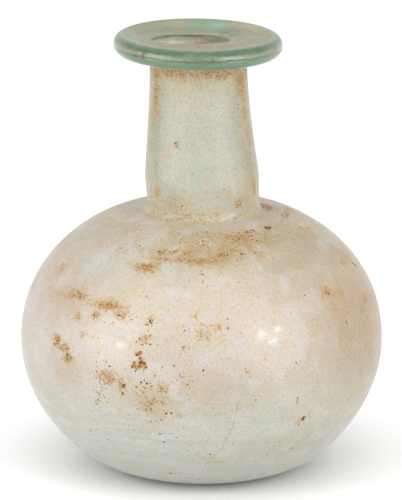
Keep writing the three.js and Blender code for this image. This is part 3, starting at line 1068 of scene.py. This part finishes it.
def weathered_glass(wall):
    """The outside of the body and the neck: a pale milky film on the glass, stained with soil, with painted
    glints and painted edge shade.
    """
    recipe = Recipe("weathered_glass", {"Transmission Weight": 0.35, "IOR": 1.5, **EDGE_BLOOM})
    height = recipe.height()
    cloudy = recipe.noise(5, stretch=(2, 2, 1), detail=4, shift=3)
    grain = recipe.noise(0.55, detail=3, roughness=0.85, shift=11)
    stained, amount = soil_stains(recipe, height)
    specks = recipe.specks(0.7, 0.22, recipe.plus(recipe.times(stained, 0.2), 0.03), shift=9)

    color = mottling(recipe, milky_film(recipe, height, cloudy), height, grain)
    color = recipe.mix(color, OCHRE, recipe.fade(amount, 1.15, 1.55, 0.0, 0.8))
    color = recipe.mix(color, ORANGE, recipe.fade(amount, 1.5, 1.85, 0.0, 0.85))
    color = recipe.mix(color, RUST, recipe.fade(amount, 2.0, 2.3, 0.0, 0.9))
    color = recipe.mix(color, RUST, recipe.times(specks, 0.6))
    # Painted glints, pale spots where highlights fall
    color = recipe.mix(color, PAINTED_GLINT, recipe.times(recipe.mask("painted_glints"), recipe.fade(cloudy, 0.3, 0.5, 0.6)))
    color = recipe.mix(color, GREEN_GREY, recipe.times(recipe.drawn(wall, CRACK), 0.8), "MULTIPLY")
    color = recipe.mix(color, ORANGE, recipe.times(recipe.drawn(wall, SCRATCH), 0.5))

    crust = recipe.most(specks, recipe.fade(amount, 1.3, 2.0, 0.0, 0.6))
    roughness = recipe.plus(recipe.fade(cloudy, 0.3, 0.7, 0.34, 0.48), recipe.times(crust, 0.35))
    roughness = recipe.times(roughness, recipe.fade(recipe.mask("gloss"), 0.3, 0.9, 1.0, 0.3))
    normal = recipe.bump(crust, 0.12, 0.8, under=recipe.bump(grain, 0.05, 0.35))
    return recipe.finish(Base_Color=color, Roughness=roughness, Normal=normal)


def soil_crumbs():
    """Dry crumbs of soil, some ochre and some nearly black."""
    recipe = Recipe("soil_crumbs", {"IOR": 1.5})
    grit = recipe.noise(0.3, detail=4, roughness=0.7)
    shade = recipe.plus(recipe.mask("shade"), recipe.fade(grit, 0.3, 0.7, -0.25, 0.25))
    color = recipe.ramp(shade, [(0.0, SOIL), (0.3, SOIL), (0.5, RUST), (0.8, RUST), (1.0, ORANGE)])
    roughness = recipe.fade(grit, 0.3, 0.7, 0.8, 0.95)
    return recipe.finish(Base_Color=color, Roughness=roughness, Normal=recipe.bump(grit, 0.05, 0.6))


def rim_glass():
    """The thick glass of the rim: glossy teal, under a brown-grey film where it is dished, with a painted
    highlight band, painted shade and painted sheen on its roll.
    """
    recipe = Recipe("rim_glass", {"Transmission Weight": 0.4, "IOR": 1.5, **EDGE_BLOOM, "Sheen Weight": 0.1})
    streaks = recipe.noise(1.2, stretch=(6, 6, 1), detail=4, shift=2)
    broken = recipe.noise(2.2, detail=5, roughness=0.7, shift=4)
    turn = recipe.plus(recipe.mask("roll"), recipe.fade(broken, 0.3, 0.7, -0.032, 0.032))
    # Round the roll from below: teal, the fold's dark line, a painted highlight band, a darker green band,
    # then the dish
    stops = [
        (0.0, TEAL),
        (0.46, TEAL),
        (0.49, ROLL_LINE),
        (0.51, ROLL_LINE),
        (0.55, ROLL_PAINTED_HIGHLIGHT),
        (0.6, ROLL_PAINTED_HIGHLIGHT),
        (0.71, ROLL_DARK),
        (0.82, ROLL_DARK),
        (0.92, DISH_GREEN),
        (1.0, DISH_GREEN),
    ]
    color = recipe.ramp(turn, stops)
    color = recipe.mix(color, DISH_GREEN, recipe.fade(streaks, 0.45, 0.7, 0.0, 0.5))
    # Painted pale sheen on the roll's ends
    painted_sheen = recipe.times(recipe.mask("painted_roll_sheen"), recipe.fade(streaks, 0.65, 0.35, 0.5, 1.0))
    # Painted shade over the roll's highlight band
    color = recipe.mix(color, ROLL_DARK, recipe.mask("painted_roll_shade"))
    color = recipe.mix(color, PAINTED_ROLL_SHEEN, painted_sheen)
    color = recipe.mix(color, SOIL, recipe.times(recipe.mask("pits"), 0.75))
    film = recipe.times(recipe.mask("dish_film"), recipe.fade(broken, 0.3, 0.55))
    color = recipe.mix(color, DISH_FILM, film)
    color = recipe.mix(color, TURQUOISE, recipe.times(recipe.mask("turquoise"), 0.9))
    color = recipe.mix(color, DEEP_GREEN, recipe.times(recipe.mask("deep_green"), 0.9))
    color = recipe.mix(color, PINK_STAIN, recipe.times(recipe.mask("pink"), recipe.fade(broken, 0.3, 0.55)))
    # Soil at the far lip, also a painted shadow of the lip
    soil = recipe.fade(recipe.plus(recipe.mask("lip_soil_and_shadow"), recipe.times(broken, 0.7)), 0.85, 1.15)
    rust = recipe.fade(recipe.plus(recipe.mask("lip_rust"), recipe.times(broken, 0.9)), 0.95, 1.2)
    color = recipe.mix(color, ORANGE, recipe.times(rust, 0.9))
    color = recipe.mix(color, SOIL, recipe.times(soil, 0.9))
    color = recipe.mix(color, RUST, recipe.times(recipe.specks(1.4, 0.3, 0.05, shift=6), 0.7))
    grain = recipe.noise(0.5, detail=3, roughness=0.8, shift=11)
    color = recipe.mix(color, GRAIN_SHADE, recipe.fade(grain, 0.5, 0.7, 0.0, 0.7), "MULTIPLY")
    roughness = recipe.plus(recipe.fade(broken, 0.3, 0.7, 0.08, 0.18), recipe.times(film, 0.35))
    normal = recipe.bump(recipe.plus(streaks, recipe.times(broken, 0.3)), 0.04, 0.4)
    return recipe.finish(Base_Color=color, Roughness=roughness, Normal=normal)


def inner_glass():
    """The inside of the wall: greenish at the mouth, and milky below it, with a painted highlight band in
    the bore.
    """
    recipe = Recipe("inner_glass", {"Transmission Weight": 0.3, "IOR": 1.5})
    cloudy = recipe.noise(4, detail=4)
    # Up the bore: milky, beige, a thin painted highlight band, beige again, then green near the mouth
    stops = [
        (0.8, MIDDLE_FILM),
        (0.9, BORE_BEIGE),
        (0.959, BORE_BEIGE),
        (0.9615, BORE_PAINTED_HIGHLIGHT),
        (0.965, BORE_PAINTED_HIGHLIGHT),
        (0.9675, BORE_BEIGE),
        (0.97, BORE_BEIGE),
        (0.973, BORE_GREEN),
    ]
    color = recipe.ramp(recipe.plus(recipe.height(), recipe.fade(cloudy, 0.3, 0.7, -0.002, 0.002)), stops)
    color = recipe.mix(color, OCHRE, recipe.fade(cloudy, 0.55, 0.75, 0.0, 0.25))
    roughness = recipe.fade(cloudy, 0.3, 0.7, 0.2, 0.4)
    return recipe.finish(Base_Color=color, Roughness=roughness, Normal=recipe.bump(cloudy, 0.05, 0.3))


def add_floor(size):
    """A plain white floor under the flask."""
    mesh = bpy.data.meshes.new("floor")
    h = size / 2
    mesh.from_pydata([(-h, -h, 0), (h, -h, 0), (h, h, 0), (-h, h, 0)], [], [(0, 1, 2, 3)])
    floor = bpy.data.objects.new("floor", mesh)
    bpy.context.scene.collection.objects.link(floor)
    material = bpy.data.materials.new("floor_white")
    material.use_nodes = True
    shader = material.node_tree.nodes["Principled BSDF"]
    shader.inputs["Base Color"].default_value = (0.96, 0.96, 0.96, 1)
    shader.inputs["Roughness"].default_value = 0.9
    shader.inputs["Specular IOR Level"].default_value = 0.1
    mesh.materials.append(material)


def add_softbox(name, azimuth, elevation, distance, width, height, power):
    """A soft rectangular light that faces the middle of the flask. Degrees, metres and watts."""
    light = bpy.data.lights.new(name, "AREA")
    light.shape = "RECTANGLE"
    light.size = width
    light.size_y = height
    light.energy = power
    lamp = bpy.data.objects.new(name, light)
    a, e = math.radians(azimuth), math.radians(elevation)
    direction = Vector((math.sin(a) * math.cos(e), -math.cos(a) * math.cos(e), math.sin(e)))
    lamp.location = CAMERA_AIM + direction * distance
    lamp.rotation_euler = direction.to_track_quat("Z", "Y").to_euler()
    bpy.context.scene.collection.objects.link(lamp)


def add_camera():
    """The camera, which looks at the middle of the flask from its front."""
    camera_data = bpy.data.cameras.new("camera")
    camera_data.lens = CAMERA_LENS
    camera_data.clip_start = 0.05
    camera_data.clip_end = 50
    camera = bpy.data.objects.new("camera", camera_data)
    e = math.radians(CAMERA_ELEVATION)
    back = Vector((0, -math.cos(e), math.sin(e)))
    camera.location = CAMERA_AIM + back * CAMERA_DISTANCE
    camera.rotation_euler = back.to_track_quat("Z", "Y").to_euler()
    bpy.context.scene.collection.objects.link(camera)
    bpy.context.scene.camera = camera


def light_world(strength):
    """Even white light from all around."""
    world = bpy.data.worlds.new("studio")
    world.use_nodes = True
    background = world.node_tree.nodes["Background"]
    background.inputs["Color"].default_value = (1, 1, 1, 1)
    background.inputs["Strength"].default_value = strength
    bpy.context.scene.world = world


wall = Wall()
flask = make_flask(wall, Soil(wall))
for material in (weathered_glass(wall), rim_glass(), inner_glass(), soil_crumbs()):
    flask.data.materials.append(material)
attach(flask, "root")
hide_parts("flask")

add_floor(size=8)
light_world(strength=0.66)
add_softbox("left_softbox", azimuth=-60, elevation=18, distance=1.2, width=0.7, height=1, power=8)
add_softbox("right_softbox", azimuth=50, elevation=18, distance=1.2, width=0.7, height=1, power=8)
add_softbox("top_softbox", azimuth=0, elevation=82, distance=1.5, width=2.2, height=2.2, power=14)
add_camera()
bpy.context.scene.view_settings.view_transform = "Standard"
